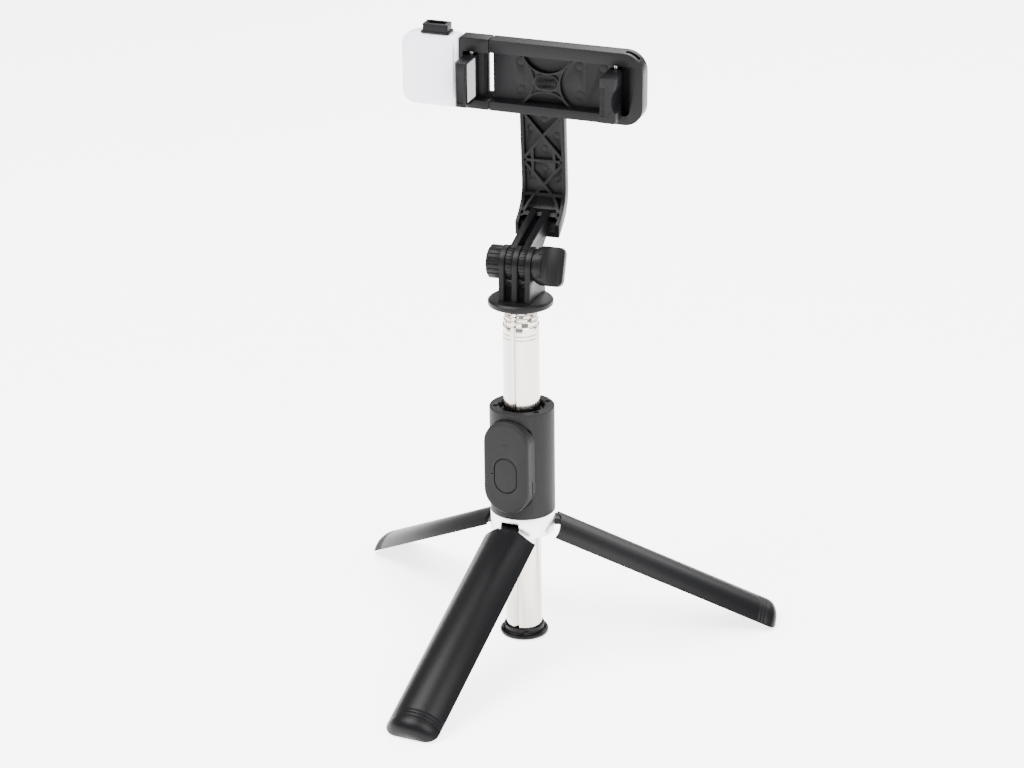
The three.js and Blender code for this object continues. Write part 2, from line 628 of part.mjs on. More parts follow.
function lightOutline(inset, round) {
  const left = LIGHT_LEFT + inset;
  const right = LIGHT_RIGHT - inset;
  const half = LIGHT_HALF - inset;
  return roundedRect(left, right, -half, half, [0.8 + round, 6 - inset / 2, 6 - inset / 2, 0.8 + round]);
}

function lightDiffuser() {
  const dome = join(
    alongY(lightOutline(0, 0), LIGHT_FRONT + 1, LIGHT_SPLIT, 5),
    alongY(lightOutline(1.4, 2), LIGHT_FRONT, LIGHT_FRONT + 2, 5),
  );
  return cut(dome, alongY(lightOutline(1.6, 1), LIGHT_FRONT + 2.4, LIGHT_SPLIT + 1, 4));
}

function lightCase() {
  const shell = alongY(lightOutline(0.3, 0), LIGHT_SPLIT + 0.1, LIGHT_BACK, 5);
  return cut(shell, alongY(lightOutline(1.8, 1), LIGHT_SPLIT - 1, LIGHT_BACK - 1.2, 4));
}

function lightBoard() {
  return alongY(lightOutline(2.2, 1), 27.2, 28.2, 4);
}

function lightCell() {
  return alongY(roundedRect(-57, -39, -11, 11, [1, 1, 1, 1]), 28.6, 31.5, 3);
}

// a collar round the charging socket, on top of the light
function lightCollar() {
  const [x0, x1, y0, y1] = [-51.2, -39.6, 24.6, 31.4];
  const block = raise(roundedRect(x0, x1, y0, y1, [1, 1, 1, 1]), LIGHT_HALF + 0.1, LIGHT_HALF + 4.3, 3);
  return cut(block, raise(roundedRect(x0 + 1.6, x1 - 1.6, y0 + 1.7, y1 - 1.7, [0.6, 0.6, 0.6, 0.6]),
    LIGHT_HALF + 1.5, LIGHT_HALF + 5, 3));
}

// ---------------------------------------------------------------- remote control

function remoteOutline(inset) {
  return stadium(REMOTE_W - 2 * inset, REMOTE_H - 2 * inset, REMOTE_Z);
}

function buttonOutline(inset) {
  return stadium(BUTTON_W - 2 * inset, BUTTON_H - 2 * inset, BUTTON_Z);
}

function remoteCase() {
  // skirts reach back round the handle, outside its pocket
  const full = alongY(remoteOutline(0), -REMOTE_FACE, -6, 6);
  const handle = rod('z', HANDLE_R + GAP, REMOTE_Z - 40, REMOTE_Z + 40, SIDES)
    .intersect(box(-20, 20, CASE_BACK, 0, 0, 200));
  const cavity = alongY(remoteOutline(1.4), -REMOTE_FACE + 1.3, -5, 5);
  const skirt = cut(full, handle, cavity, box(-9.2, 9.2, CASE_BACK, 0, 0, 200));
  const window = alongY(buttonOutline(-0.25), -REMOTE_FACE - 1, -REMOTE_FACE + 3, 4);
  const led = rod('y', 0.4, -REMOTE_FACE - 1, -REMOTE_FACE + 2, 8).translate([-6.5, 0, BUTTON_Z + 0.2]);
  return cut(skirt, window, led);
}

function remoteBack() {
  return alongY(remoteOutline(1.7), CASE_BACK + 0.1, -REMOTE_BACK, 6);
}

function remoteBoard() {
  const board = alongY(remoteOutline(1.9), -15, -14.2, 5);
  const dome = rod('y', 2.2, -15, -14.6, 12).translate([0, 0, BUTTON_Z]);
  return join(board, dome);
}

function shutterButton() {
  const cap = alongY(buttonOutline(0), -REMOTE_FACE - 0.05, -REMOTE_FACE + 0.9, 4);
  const lip = alongY(buttonOutline(-0.9), -REMOTE_FACE + 1.9, -REMOTE_FACE + 2.2, 4);
  const stem = alongY(buttonOutline(0), -REMOTE_FACE + 0.5, -REMOTE_FACE + 2.1, 4);
  return join(cap, stem, lip);
}

// ---------------------------------------------------------------- assembly
const stick = new THREE.Group();

const handle = place(stick, { rz: HANDLE_TURN });
part(handle, 'handle_shell', handleShell(), GRIP);
part(handle, 'guide_sleeve', guideSleeve(), BLACK);
part(handle, 'hub_core', hubCore(), DARK);
part(handle, 'hub_ring', hubRing(), BRIGHT);
SCREW_ANGLES.forEach((angle, i) => {
  part(handle, `handle_screw_${i + 1}`, screwAt(angle, 0.95, HANDLE_TOP - 4.7, HANDLE_TOP - 0.9), DARK);
});
part(handle, 'remote_case', remoteCase(), GRIP);
part(handle, 'remote_back', remoteBack(), BLACK);
part(handle, 'remote_board', remoteBoard(), BOARD);
part(handle, 'coin_cell', rod('y', 8, -13.9, -12.3, 24).translate([0, 0, 94]), BRIGHT);
part(handle, 'shutter_button', shutterButton(), GRIP);

for (const [name, azimuth] of Object.entries(LEG_AZIMUTHS)) {
  const side = place(handle, { rz: azimuth });
  part(side, `${name}_leg_pin`, legPin(PIN_R, 5.1), STEEL);
  const open = place(side, { x: PIVOT_R, z: PIVOT_Z, ry: -LEG_OPEN });
  const leaf = place(open, { x: -PIVOT_R, z: -PIVOT_Z });
  part(leaf, `${name}_leg`, leg(), BLACK);
  part(leaf, `${name}_foot_pad`, legPadSolid(0, 0.9), DARK);
}

TUBE_TOPS.forEach((top, i) => part(handle, `mast_tube_${i + 1}`, mastTube(i), STEEL));
part(handle, 'bottom_cap', bottomCap(), BLACK);

part(stick, 'head_fork', headFork(), DARK);
part(stick, 'hinge_nut', hingeNut(), DARK);
part(stick, 'thumb_knob', thumbKnob(), DARK);
part(stick, 'hinge_bolt', hingeBolt(), STEEL);

const armGroup = place(stick, { z: HINGE_Z, rx: ARM_LEAN });
part(armGroup, 'arm', arm(), BLACK);
part(place(armGroup, { z: BRACKET_RISE }), 'swivel_rivet', swivelRivet(), STEEL);

const clamp = place(armGroup, { z: BRACKET_RISE, ry: BRACKET_ROLL });
part(clamp, 'clamp_frame', clampFrame(), BLACK);
part(clamp, 'clamp_back_cover', backCover(), BLACK);
part(clamp, 'right_jaw', jaw(RIGHT_JAW, RIGHT_PIN_X, -1, true), BLACK);
part(clamp, 'right_jaw_pad', jawPad(RIGHT_JAW, -1), PAD);
part(clamp, 'right_jaw_pin', jawPin(RIGHT_PIN_X), STEEL);
part(clamp, 'slide_block', slideBlock(), BLACK);
railSpace(0, RAIL_START, RAIL_END).forEach((rail, i) => {
  part(clamp, `slide_rail_${i ? 'bottom' : 'top'}`, rail, STEEL);
});
part(clamp, 'left_jaw', jaw(LEFT_JAW, LEFT_PIN_X, 1, false), BLACK);
part(clamp, 'left_jaw_pad', jawPad(LEFT_JAW, 1), PAD);
part(clamp, 'left_jaw_pin', jawPin(LEFT_PIN_X), STEEL);
part(clamp, 'light_diffuser', lightDiffuser(), WHITE);
part(clamp, 'light_case', lightCase(), WHITE);
part(clamp, 'light_board', lightBoard(), BOARD);
part(clamp, 'light_cell', lightCell(), BRIGHT);
part(clamp, 'light_socket_collar', lightCollar(), BLACK);

export default stick;
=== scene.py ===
# %% [markdown]
# # A selfie stick that stands on three legs
# A folding stick: a telescopic steel mast in a short plastic handle, three half-round legs, a
# three-finger joint with a thumb knob, a curved arm, a sprung phone clamp with a light, and a
# remote control in the handle. The CAD model gives every size and joint; this lesson gives each
# visible piece rounded edges, fine detail and a surface. Lengths are written in millimetres and
# turned into metres where a piece is made.
# %%
import json
import math

import bpy
from mathutils import Matrix, Vector


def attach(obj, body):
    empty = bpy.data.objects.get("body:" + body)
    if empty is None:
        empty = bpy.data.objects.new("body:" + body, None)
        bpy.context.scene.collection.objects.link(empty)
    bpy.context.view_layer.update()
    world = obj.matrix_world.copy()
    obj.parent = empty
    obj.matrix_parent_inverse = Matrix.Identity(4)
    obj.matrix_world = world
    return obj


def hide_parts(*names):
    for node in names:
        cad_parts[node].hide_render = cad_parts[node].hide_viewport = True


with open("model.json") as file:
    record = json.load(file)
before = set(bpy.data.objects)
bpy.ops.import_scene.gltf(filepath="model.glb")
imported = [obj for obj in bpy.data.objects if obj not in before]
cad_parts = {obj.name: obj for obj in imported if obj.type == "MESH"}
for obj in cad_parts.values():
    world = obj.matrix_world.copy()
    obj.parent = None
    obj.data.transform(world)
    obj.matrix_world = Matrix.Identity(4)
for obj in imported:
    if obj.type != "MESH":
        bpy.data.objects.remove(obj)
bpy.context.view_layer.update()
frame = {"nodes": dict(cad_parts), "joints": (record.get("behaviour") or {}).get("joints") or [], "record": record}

# %% [markdown]
# ## Driving sizes
# The handle and all that stands on it are turned 6 degrees from the head. The arm leans forward
# and the clamp is rolled a little on it. Each group is drawn upright about its own origin and
# then placed by a matrix, which keeps the numbers simple.
# %%
MM = 0.001
GAP = 0.3
HANDLE_R, HANDLE_LOW, HANDLE_TOP = 14.5, 61.1, 110.7
RING_LOW, RING_IN = 51.5, 12.6
PIVOT_R, PIVOT_Z = 10.2, 55.5
LEG_LENGTH, LEG_CHORD, LEG_WALL = 113.7, 7.25, 1.7
LEG_OPEN = math.radians(frame["joints"][0]["range_deg"][1])
LEG_TURN = {"front": -90, "right": 30, "left": 150}
TUBE_R, TUBE_PITCH, TUBE_WALL = 8.1, 0.45, 0.34
TUBE_TOPS = [149.1, 151.5, 153.2, 154.6, 155.6, 156.5, 157.4]
FLANGE_Z, FLANGE_T, FLANGE_R, HINGE_Z = 157.8, 3.05, 14.4, 176.2
PLATE_T, PLATE_PITCH, EYE_R, LUG_T = 2.26, 6.04, 7.8, 3.1
HINGE_HOLE, SWIVEL_HOLE, SWIVEL_Z = 2.3, 2.5, 75.2
ARM_HALF, ARM_FRONT, ARM_BACK, ARM_TOP = 10.2, 33.6, 37.3, 87
FACE_Y, POCKET_Y, BACK_Y = 25.2, 30.8, 32.8
SPLIT_X, BLOCK_LEFT, CLAMP_RIGHT, HALF_H = -20.6, -34.4, 48.8, 15.95
RIM_LOW, RIM_HIGH = -12, 10.2
JAW_LOW, JAW_HIGH, JAW_OUT = -11.7, 8.1, 12
LEFT_PIN, RIGHT_PIN, PIN_Y, PIN_HOLE = -29.6, 36, 27.9, 1.2
LIGHT_LEFT, LIGHT_RIGHT, LIGHT_HALF = -61, -34.7, 16.3
REMOTE_W, REMOTE_H, REMOTE_Z, REMOTE_FACE = 21.8, 43.3, 86.4, 17.7
BUTTON_W, BUTTON_H, BUTTON_Z = 10.8, 16.2, 82.9


def turn(degrees, axis):
    return Matrix.Rotation(math.radians(degrees), 4, axis)


def move(x, y, z):
    return Matrix.Translation(Vector((x, y, z)) * MM)


HANDLE = turn(-6, "Z")
HEAD = move(0, 0, HINGE_Z)
ARM = HEAD @ turn(3.5, "X")
CLAMP = ARM @ move(0, 0, SWIVEL_Z) @ turn(1.64, "Y")
print("hinge at", tuple(round(v, 4) for v in HEAD.translation))

# %% [markdown]
# ## Tools of the bench
# An outline is drawn by extruding one vertex from point to point, as one would by hand with E.
# Filled and extruded again it makes a prism; spun about the mast it makes a turned piece.
# Pieces are cut and joined with boolean modifiers and their edges rounded with a bevel.
# %%
def arc(cx, cy, radius, start, end, steps=8):
    angles = [math.radians(start + (end - start) * i / steps) for i in range(steps + 1)]
    return [(cx + radius * math.cos(a), cy + radius * math.sin(a)) for a in angles]


def circle(radius, cx=0, cy=0, steps=64):
    return arc(cx, cy, radius, 0, 360 - 360 / steps, steps - 1)


def rounded(x0, x1, y0, y1, rt, lt, lb, rb, steps=8):
    return (arc(x1 - rb, y0 + rb, rb, -90, 0, steps) + arc(x1 - rt, y1 - rt, rt, 0, 90, steps)
            + arc(x0 + lt, y1 - lt, lt, 90, 180, steps) + arc(x0 + lb, y0 + lb, lb, 180, 270, steps))


def stadium(width, height, z, steps=16):
    radius = width / 2
    top = arc(0, z + height / 2 - radius, radius, 0, 180, 2 * steps)
    return top + arc(0, z - height / 2 + radius, radius, 180, 360, 2 * steps)


def tidy(piece):
    bpy.ops.object.mode_set(mode="EDIT")
    bpy.ops.mesh.select_all(action="SELECT")
    bpy.ops.mesh.remove_doubles(threshold=2e-6)
    bpy.ops.mesh.normals_make_consistent(inside=False)
    bpy.ops.object.mode_set(mode="OBJECT")
    return piece


def draw(name, points, closed=True):
    bpy.ops.object.select_all(action="DESELECT")
    bpy.ops.mesh.primitive_plane_add(size=0.001)
    piece = bpy.context.object
    piece.name = name
    piece.data.name = name
    bpy.ops.object.mode_set(mode="EDIT")
    bpy.ops.mesh.select_mode(type="VERT")
    bpy.ops.mesh.merge(type="CENTER")
    here = Vector(points[0]) * MM
    bpy.ops.transform.translate(value=here)
    for point in points[1:] + points[:1] * closed:
        there = Vector(point) * MM
        bpy.ops.mesh.extrude_region_move(TRANSFORM_OT_translate={"value": there - here})
        here = there
    bpy.ops.mesh.select_all(action="SELECT")
    bpy.ops.mesh.remove_doubles(threshold=1e-6)
    return piece


def prism(name, outline, axis, start, end):
    place = {
        "x": lambda a, b: (start, a, b),
        "y": lambda a, b: (a, start, b),
        "z": lambda a, b: (a, b, start),
    }[axis]
    run = {"x": (1, 0, 0), "y": (0, 1, 0), "z": (0, 0, 1)}[axis]
    piece = draw(name, [place(a, b) for a, b in outline])
    bpy.ops.mesh.edge_face_add()
    bpy.ops.mesh.extrude_region_move(TRANSFORM_OT_translate={"value": Vector(run) * (end - start) * MM})
    bpy.ops.object.mode_set(mode="OBJECT")
    return tidy(piece)


def lathe(name, profile, steps=96, closed=True):
    piece = draw(name, [(r, 0, z) for r, z in profile], closed)
    bpy.ops.mesh.spin(steps=steps, angle=math.tau, center=(0, 0, 0), axis=(0, 0, 1))
    bpy.ops.object.mode_set(mode="OBJECT")
    return tidy(piece)


def rod(name, axis, radius, start, end, steps=48):
    return prism(name, circle(radius, steps=steps), axis, start, end)


def block(name, x0, x1, y0, y1, z0, z1):
    return prism(name, [(x0, y0), (x1, y0), (x1, y1), (x0, y1)], "z", z0, z1)


def pick(piece):
    bpy.ops.object.select_all(action="DESELECT")
    piece.select_set(True)
    bpy.context.view_layer.objects.active = piece


def change(piece, kind, **settings):
    pick(piece)
    modifier = piece.modifiers.new(kind.title(), kind)
    for key, value in settings.items():
        setattr(modifier, key, value)
    bpy.ops.object.modifier_apply(modifier=modifier.name)
    return piece


def combine(piece, other, operation):
    change(piece, "BOOLEAN", object=other, operation=operation, solver="EXACT")
    bpy.data.objects.remove(other)
    return piece


def cut(piece, *others):
    for other in others:
        combine(piece, other, "DIFFERENCE")
    return piece


def join(piece, *others):
    for other in others:
        combine(piece, other, "UNION")
    return piece


def round_edges(piece, width, segments=3, angle=35):
    tidy(piece)
    return change(piece, "BEVEL", width=width * MM, segments=segments, limit_method="ANGLE",
                  angle_limit=math.radians(angle), use_clamp_overlap=True, miter_outer="MITER_ARC")


def shift(piece, matrix):
    pick(piece)
    piece.matrix_world = matrix
    bpy.ops.object.transform_apply(location=True, rotation=True, scale=True)
    return piece


def round_face(piece, normal, width, segments=5):
    pick(piece)
    bpy.ops.object.mode_set(mode="EDIT")
    bpy.ops.mesh.select_mode(type="FACE")
    bpy.ops.mesh.select_all(action="DESELECT")
    bpy.ops.object.mode_set(mode="OBJECT")
    for face in piece.data.polygons:
        face.select = face.normal.dot(Vector(normal)) > 0.999
    bpy.ops.object.mode_set(mode="EDIT")
    bpy.ops.mesh.bevel(offset=width * MM, segments=segments, affect="EDGES")
    bpy.ops.object.mode_set(mode="OBJECT")
    return piece


def done(piece, matrix, body, node, slot):
    shift(piece, matrix)
    tidy(piece)
    bpy.ops.object.shade_smooth_by_angle(angle=math.radians(32))
    piece.data.materials.clear()
    piece.data.materials.append(SURFACES[slot])
    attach(piece, body)
    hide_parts(node)
    print(piece.name, len(piece.data.polygons), "faces")
    return piece


# %% [markdown]
# ## Surfaces
# Moulded plastic has a very fine grain and is a little paler where its edges rub. The tubes are
# polished steel, drawn lengthwise, so their fine grain is stretched along Z; their broad tone noise,
# stretched the same way and strong, paints lengthwise reflection streaks into the steel's colour.
# %%
SURFACES = {}


def surface(slot, color, rough, metal=0.0, grain=1800, bump=0.15, stretch=(1, 1, 1), wear=0.35,
            coat=0.0, patch=45, spread=0.07, sheen=0.12):
    material = bpy.data.materials.new(slot)
    material.use_nodes = True
    nodes, links = material.node_tree.nodes, material.node_tree.links
    shader = nodes["Principled BSDF"]
    shader.inputs["Metallic"].default_value = metal
    shader.inputs["Coat Weight"].default_value = coat
    shader.inputs["Specular IOR Level"].default_value = 0.5 if metal else sheen
    place = nodes.new("ShaderNodeTexCoord")
    mapping = nodes.new("ShaderNodeMapping")
    mapping.inputs["Scale"].default_value = stretch
    links.new(place.outputs["Object"], mapping.inputs["Vector"])
    fine = nodes.new("ShaderNodeTexNoise")
    fine.inputs["Scale"].default_value = grain
    fine.inputs["Detail"].default_value = 4
    links.new(mapping.outputs["Vector"], fine.inputs["Vector"])
    broad = nodes.new("ShaderNodeTexNoise")
    broad.inputs["Scale"].default_value = patch
    broad.inputs["Detail"].default_value = 6
    links.new(mapping.outputs["Vector"], broad.inputs["Vector"])
    tone = nodes.new("ShaderNodeMixRGB")
    tone.inputs["Color1"].default_value = (*[c * (1 - spread) for c in color], 1)
    tone.inputs["Color2"].default_value = (*[min(1, c * (1 + spread)) for c in color], 1)
    links.new(broad.outputs["Fac"], tone.inputs["Fac"])
    edge = nodes.new("ShaderNodeNewGeometry")
    rubbed = nodes.new("ShaderNodeMapRange")
    rubbed.inputs["From Min"].default_value = 0.52
    rubbed.inputs["From Max"].default_value = 0.66
    rubbed.inputs["To Max"].default_value = wear
    links.new(edge.outputs["Pointiness"], rubbed.inputs["Value"])
    paler = nodes.new("ShaderNodeMixRGB")
    paler.inputs["Color2"].default_value = (*[min(1, c * 1.6 + 0.002) for c in color], 1)
    links.new(rubbed.outputs["Result"], paler.inputs["Fac"])
    links.new(tone.outputs["Color"], paler.inputs["Color1"])
    links.new(paler.outputs["Color"], shader.inputs["Base Color"])
    gloss = nodes.new("ShaderNodeMapRange")
    gloss.inputs["To Min"].default_value = rough * 0.85
    gloss.inputs["To Max"].default_value = min(1, rough * 1.18)
    links.new(fine.outputs["Fac"], gloss.inputs["Value"])
    links.new(gloss.outputs["Result"], shader.inputs["Roughness"])
    relief = nodes.new("ShaderNodeBump")
    relief.inputs["Strength"].default_value = bump
    relief.inputs["Distance"].default_value = 0.00008
    links.new(fine.outputs["Fac"], relief.inputs["Height"])
    links.new(relief.outputs["Normal"], shader.inputs["Normal"])
    SURFACES[slot] = material
    return material


surface("grip_plastic", (0.0085, 0.0085, 0.009), 0.55, bump=0.45)
surface("black_plastic", (0.0030, 0.0030, 0.0035), 0.38, bump=0.2)
surface("dark_plastic", (0.0036, 0.0036, 0.0040), 0.40, bump=0.25)
surface("rubber_pad", (0.30, 0.30, 0.31), 0.85, grain=900, bump=0.5)
# Painted reflections: broad noise stretched along Z makes the tube colour 32 percent lighter and darker in
# lengthwise streaks, in place of reflections in the steel.
surface("tube_steel", (0.54, 0.50, 0.455), 0.16, metal=1, grain=900, bump=0.03, stretch=(1, 1, 0.02),
        wear=0, patch=260, spread=0.32)
surface("pin_steel", (0.50, 0.50, 0.52), 0.34, metal=1, grain=1200, bump=0.08, wear=0)
surface("ring_metal", (0.74, 0.74, 0.77), 0.3, metal=1, grain=1500, bump=0.06, stretch=(1, 1, 3),
        wear=0)
diffuser = surface("diffuser_white", (0.78, 0.78, 0.85), 0.32, grain=700, bump=0.03, wear=0, coat=0.25)
milky = diffuser.node_tree.nodes["Principled BSDF"].inputs
milky["Subsurface Weight"].default_value = 0.25
milky["Subsurface Scale"].default_value = 0.002
surface("board_green", (0.02, 0.10, 0.04), 0.4, grain=600, bump=0.1, wear=0)
surface("cell_silver", (0.60, 0.60, 0.62), 0.3, metal=1, grain=1000, bump=0.05, wear=0)

for entry in frame["record"]["subparts"]:
    node = frame["nodes"][entry["node"]]
    node.data.materials.clear()
    node.data.materials.append(SURFACES[entry["material_slot"]])
print("surfaces:", len(SURFACES))

# %% [markdown]
# ## Handle
# A moulded barrel with an inset top face, four screws and a stadium-shaped pocket for the
# remote. The pocket has its own wall, so the mouth reads as a clean, slightly rounded edge.
# %%
LID = [(10.0, 107.7), (12.7, 107.7), (12.7, HANDLE_LOW), (14.2, HANDLE_LOW), (14.5, 61.4)]
LID = LID + arc(13.9, 110.1, 0.6, 0, 90, 5) + [(10.4, HANDLE_TOP), (10.0, 110.3)]
SCREWS = [-149.4, -32.2, 42.9, 137.1]
SCREW_ROUND = 11.8


def make_handle():
    shell = lathe("handle_barrel", LID, 120)
    wall = prism("pocket_wall", stadium(24.8, 46.3, REMOTE_Z), "y", -20, -9.6)
    combine(wall, rod("barrel_limit", "z", HANDLE_R - 0.2, HANDLE_LOW, 110.2, 120), "INTERSECT")
    join(shell, wall)
    cut(shell, prism("pocket", stadium(REMOTE_W + 0.6, REMOTE_H + 0.6, REMOTE_Z), "y", -20, -10.6))
    for angle in SCREWS:
        hole = shift(rod("hole", "z", 1.25, 105.7, 112, 24), turn(angle, "Z") @ move(SCREW_ROUND, 0, 0))
        cut(shell, hole)
    for angle in (-160, -115, -8):
        notch = shift(block("notch", 8.9, 10.8, -1.6, 1.6, 106.7, 112), turn(angle, "Z"))
        cut(shell, notch)
    round_edges(shell, 0.28)
    done(shell, HANDLE, "handle", "handle_shell", "grip_plastic")


make_handle()
sleeve = lathe("guide_sleeve_turned", [(8.4, 62.5), (9.3, 62.5), (9.3, 108.6), (8.4, 108.6)], 96)
done(sleeve, HANDLE, "handle", "guide_sleeve", "black_plastic")

for number, angle in enumerate(SCREWS, 1):
    profile = [(0, 106), (0.95, 106), (0.95, 108.9), (0.75, 109.1), (0, 109.1)]
    screw = lathe("screw_head_%d" % number, profile, 32, False)
    cut(screw, block("slot_a", -0.55, 0.55, -0.13, 0.13, 108.6, 111),
        block("slot_b", -0.13, 0.13, -0.55, 0.55, 108.6, 111))
    shift(screw, move(SCREW_ROUND, 0, 0))
    done(screw, HANDLE @ turn(angle, "Z"), "handle", "handle_screw_%d" % number, "pin_steel")

# %% [markdown]
# ## Hub ring
# A satin metal band closes the handle. Each leg's knuckle turns in a slot in its lower edge.
# %%
RING_TOP = HANDLE_LOW - 0.05
BAND = [(RING_IN, RING_LOW), (HANDLE_R, RING_LOW), (HANDLE_R, RING_TOP), (RING_IN, RING_TOP)]
ring = lathe("hub_band", BAND, 120)
for azimuth in LEG_TURN.values():
    slot = prism("ring_slot", rounded(-4.3, 4.3, 50, 58.7, 0.8, 0.8, 0.01, 0.01, 4), "x", 9, 16)
    cut(ring, shift(slot, turn(azimuth, "Z")))
round_edges(ring, 0.15, 2)
done(ring, HANDLE, "handle", "hub_ring", "ring_metal")

# %% [markdown]
# ## Legs
# Each leg is a third of a tube cut off flat, with a domed tip. It is drawn folded, under the
# ring, and swung out about its pin. Three thin grooves run round the outside near the tip.
# %%
LEG_TOP = RING_LOW - GAP
LEG_TIP = LEG_TOP - LEG_LENGTH


def leg_profile():
    steps = [math.radians(90 * i / 10) for i in range(11)]
    outer = [(9.5 + 5 * math.sin(a), LEG_TIP + 5.5 * (1 - math.cos(a))) for a in steps]
    grooves = []
    for z in (7.4, 9.0, 10.6):
        grooves += [(14.5, LEG_TIP + z - 0.25), (14.28, LEG_TIP + z), (14.5, LEG_TIP + z + 0.25)]
    floor = LEG_TIP + LEG_WALL
    steps = [math.radians(90 * i / 8) for i in range(8, -1, -1)]
    inner = [(7.8 + 5 * math.sin(a), floor + 4.4 * (1 - math.cos(a))) for a in steps]
    return [(0, LEG_TIP)] + outer + grooves + [(14.5, LEG_TOP), (12.8, LEG_TOP)] + inner + [(0, floor)]


def make_leg(name, azimuth):
    leg = lathe(name + "_leg_shell", leg_profile(), 120, False)
    spread = math.tan(math.radians(59.3))
    near, far = LEG_CHORD * spread, 30 * spread
    region = [(LEG_CHORD, -near), (30, -far), (30, far), (LEG_CHORD, near)]
    combine(leg, prism("third", region, "z", LEG_TIP - 5, LEG_TOP + 5), "INTERSECT")
    cut(leg, block("mouth", 9, 16, -4.4, 4.4, LEG_TOP - 1.2, LEG_TOP + 2))
    pivot = move(PIVOT_R, 0, PIVOT_Z)
    cut(leg, shift(rod("scoop", "y", 6, -20, 20, 64), pivot))
    web = [(8.5, 55), (11.5, 47.8), (11.5, 40), (13.3, 38), (13.3, 50.3), (12.1, 54.9)]
    tongue = prism("tongue", web, "y", -3.3, 3.3)
    join(leg, join(tongue, shift(rod("eye", "y", 1.9, -3.3, 3.3, 32), pivot)))
    for low in (-42.2, -49.6):
        rib = prism("rib", arc(0, 0, 13.6, -30, 30, 16) + arc(0, 0, 9.8, 30, -30, 16), "z", low, low + 1.8)
        join(leg, rib)
    cut(leg, shift(rod("pin_hole", "y", 1.1, -8, 8, 24), pivot))
    round_edges(leg, 0.22, 2, 40)
    swung = HANDLE @ turn(azimuth, "Z") @ pivot @ Matrix.Rotation(-LEG_OPEN, 4, "Y") @ pivot.inverted()
    done(leg, swung, name + "_leg", name + "_leg", "black_plastic")


for leg_name, leg_azimuth in LEG_TURN.items():
    make_leg(leg_name, leg_azimuth)

# %% [markdown]
# ## Mast
# Seven tubes, one inside the next, each with a V groove down its front that keeps it from
# turning. Only the top lip of the inner ones shows. Two bead lines go round the outermost.
# %%
# The groove is a V whose walls rise at 30 degrees; half is the angle where a wall meets the round.
def keyed(radius):
    slope = math.tan(math.radians(30))
    floor = radius - 0.8 - (TUBE_R - radius) * (1 / math.cos(math.radians(30)) - 1)
    spread = 1 + slope * slope
    root = math.sqrt((slope * floor) ** 2 + spread * (radius ** 2 - floor ** 2))
    half = math.degrees(math.asin((root - slope * floor) / spread / radius))
    return arc(0, 0, radius, half - 90, 270 - half, 110) + [(0, -floor)]


for index, top in enumerate(TUBE_TOPS):
    radius = TUBE_R - TUBE_PITCH * index
    low = 2.4 + 0.7 * index
    number = index + 1
    tube = prism("tube_%d" % number, keyed(radius), "z", low, top)
    cut(tube, prism("bore", keyed(radius - TUBE_WALL), "z", low - 1, top + 1))
    if index == 0:
        for bead in (143.3, 145.1):
            cut(tube, lathe("bead", [(7.88, bead), (8.4, bead - 0.45), (8.4, bead + 0.45)], 110))
    lip = lathe("lip", [(radius - 0.4, top), (radius + 0.25, top - 0.25), (radius + 0.1, top - 0.8)], 110)
    cut(tube, lip)
    done(tube, HANDLE, "mast_%d" % number, "mast_tube_%d" % number, "tube_steel")

CAP = [(0, 0), (10.2, 0)] + arc(10.32, 0.6, 0.6, -90, 0, 4) + arc(10.52, 1.4, 0.4, 0, 90, 4)
CAP = CAP + [(9.3, 1.8), (9.1, 2.0), (9.1, 4.3), (8.9, 4.6), (8.4, 4.6), (8.4, 2.0), (0, 2.0)]
cap = lathe("foot_cap", CAP, 96, False)
for angle in range(30, 390, 90):
    tab = shift(block("tab", 8.8, 9.9, -1.2, 1.2, 1.7, 3.4), turn(angle, "Z"))
    join(cap, tab)
round_edges(cap, 0.12, 2, 50)
done(cap, HANDLE, "mast_1", "bottom_cap", "black_plastic")

# %% [markdown]
# ## Head
# A flanged foot carries three flat fingers. A ribbed nut closes the left side and a thumb knob
# with a wing the right. Knob and bolt turn together.
# %%
FOOT = FLANGE_Z + FLANGE_T - HINGE_Z


def make_fork():
    top = FLANGE_Z + FLANGE_T
    rim = [(0, FLANGE_Z), (FLANGE_R - 0.5, FLANGE_Z), (FLANGE_R, FLANGE_Z + 0.5)]
    rim = rim + [(FLANGE_R, top - 0.85), (FLANGE_R - 0.9, top), (0, top)]
    fork = lathe("fork_flange", rim, 120, False)
    join(fork, rod("plug", "z", 3.2, FLANGE_Z - 18, FLANGE_Z + 1))
    outline = [(-8.6, FOOT - 0.5), (12.4, FOOT - 0.5), (11.8, FOOT + 4)] + arc(0, 0, EYE_R, 0, 180, 32)
    for side in (-1, 0, 1):
        low = side * PLATE_PITCH - PLATE_T / 2
        finger = prism("finger", outline, "x", low, low + PLATE_T)
        join(fork, shift(finger, HEAD))
    foot = [(-5.5, FOOT - 0.5), (12.4, FOOT - 0.5), (11.8, FOOT + 4), (-4.2, FOOT + 5.6)]
    join(fork, shift(prism("web", foot, "x", -PLATE_PITCH, PLATE_PITCH), HEAD))
    cut(fork, shift(rod("eye_bore", "x", HINGE_HOLE, -12, 12), HEAD))
    round_edges(fork, 0.25)
    done(fork, Matrix(), "mast_7", "head_fork", "dark_plastic")


def ribbed(radius, depth, count):
    points = []
    for index in range(count):
        middle = 360 * index / count
        share = 360 / count
        points += arc(0, 0, radius, middle - 0.34 * share, middle + 0.34 * share, 4)
        points += arc(0, 0, radius - depth, middle + 0.44 * share, middle + 0.56 * share, 1)
    return points


make_fork()
nut = prism("ribbed_nut", ribbed(7.4, 0.45, 20), "x", -13.2, -7.27)
join(nut, rod("nut_face", "x", 6.6, -13.75, -13, 64))
cut(nut, rod("nut_dish", "x", 4.2, -14.5, -13.35, 48), rod("nut_bore", "x", HINGE_HOLE, -13.2, -7))
round_edges(nut, 0.16, 2)
done(nut, HEAD, "mast_7", "hinge_nut", "dark_plastic")

